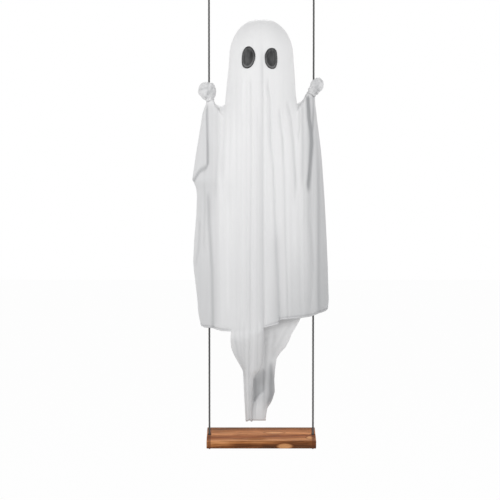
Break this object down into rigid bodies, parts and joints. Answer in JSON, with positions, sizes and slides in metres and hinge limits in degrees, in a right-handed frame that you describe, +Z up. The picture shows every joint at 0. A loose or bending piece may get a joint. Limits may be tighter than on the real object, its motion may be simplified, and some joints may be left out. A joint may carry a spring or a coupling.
{
  "type": "hanging swing figure",
  "caption": "White cloth ghost figure with raised arms and lens eyes, gripping a two-rope swing with a tipping board, with a geared kicking tail inside its gown.",
  "frame": {"origin": "midway between the two ceiling hooks, on the horizontal axis that the figure swings about", "axes": "+X to the right as the figure is looked at, +Y away from the viewer, +Z up"},
  "size_m": [0.3731, 0.1948, 1.3597],
  "materials": {
    "white_satin": "satin",
    "dark_rope": "matte",
    "steel": "satin",
    "brass": "satin",
    "stained_pine": "matte",
    "white_plastic": "matte",
    "black_plastic": "matte",
    "nylon_gear": "satin",
    "smoked_lens": "satin",
    "led_plastic": "gloss",
    "grey_foam": "matte",
    "circuit_board_green": "satin",
    "cell_wrap": "satin"
  },
  "bodies": {
    "root": {"hook_left": "steel", "hook_right": "steel"},
    "swing": {"arm_foam_left": "grey_foam", "arm_foam_right": "grey_foam", "arm_wire_left": "steel", "arm_wire_right": "steel", "battery_cell_1": "cell_wrap", "battery_cell_2": "cell_wrap", "battery_cell_3": "cell_wrap", "battery_contact_left": "brass", "battery_contact_right": "brass", "circuit_board": "circuit_board_green", "drape_left": "white_satin", "drape_right": "white_satin", "eye_led_left": "led_plastic", "eye_led_right": "led_plastic", "eye_lens_left": "smoked_lens", "eye_lens_right": "smoked_lens", "fist_left": "white_satin", "fist_right": "white_satin", "frame_pillar_front": "steel", "frame_pillar_rear": "steel", "gear_plate_left": "steel", "gear_plate_right": "steel", "gown_back": "white_satin", "gown_front": "white_satin", "head_plate": "white_plastic", "head_shell": "white_plastic", "hood": "white_satin", "hood_skirt": "white_satin", "housing_back": "black_plastic", "housing_front": "black_plastic", "idler_axle": "steel", "kicker_bushing_left": "brass", "kicker_bushing_right": "brass", "motor": "steel", "neck_post": "steel", "rope_ferrule_left": "steel", "rope_ferrule_right": "steel", "rope_knot_left": "dark_rope", "rope_knot_right": "dark_rope", "rope_left": "dark_rope", "rope_loop_left": "dark_rope", "rope_loop_right": "dark_rope", "rope_right": "dark_rope", "speaker": "steel", "wrist_tie_left": "white_satin", "wrist_tie_right": "white_satin"},
    "board": {"swing_board": "stained_pine"},
    "tail": {"kicker_shaft": "steel", "sector_gear": "nylon_gear", "kicker_arm": "steel", "tail_crossbar": "black_plastic", "tail_weight": "steel", "tail_cloth": "white_satin"},
    "compound": {"compound_gear": "nylon_gear"},
    "pinion": {"motor_pinion": "brass"},
    "door": {"battery_door": "black_plastic"},
    "switch": {"power_switch": "nylon_gear"},
    "button": {"try_me_button": "nylon_gear"}
  },
  "joints": [
    {"name": "swing_on_hooks", "type": "hinge", "parent": "root", "child": "swing", "pos_m": [0, 0, 0], "axis": [1, 0, 0], "range_deg": [-30, 30]},
    {"name": "board_tip", "type": "hinge", "parent": "swing", "child": "board", "pos_m": [0, 0, -1.29], "axis": [1, 0, 0], "range_deg": [-26, 0]},
    {"name": "tail_kick", "type": "hinge", "parent": "swing", "child": "tail", "pos_m": [0, 0, -0.6283], "axis": [1, 0, 0], "range_deg": [-8, 8]},
    {"name": "compound_spin", "type": "hinge", "parent": "swing", "child": "compound", "pos_m": [0, 0, -0.5923], "axis": [1, 0, 0], "range_deg": [-41, 41]},
    {"name": "pinion_spin", "type": "hinge", "parent": "swing", "child": "pinion", "pos_m": [0, 0, -0.5673], "axis": [1, 0, 0], "range_deg": [-161, 161]},
    {"name": "door_slide", "type": "slide", "parent": "swing", "child": "door", "axis": [0, 0, -1], "range_m": [0, 0.0523]},
    {"name": "switch_slide", "type": "slide", "parent": "swing", "child": "switch", "axis": [1, 0, 0], "range_m": [0, 0.004]},
    {"name": "button_press", "type": "slide", "parent": "swing", "child": "button", "axis": [0, 0, 1], "range_m": [0, 0.002], "stiffness_N_per_m": 150}
  ],
  "couplings": [
    {"joint": "compound_spin", "follows": "tail_kick", "ratio": -5},
    {"joint": "pinion_spin", "follows": "tail_kick", "ratio": 20}
  ]
}
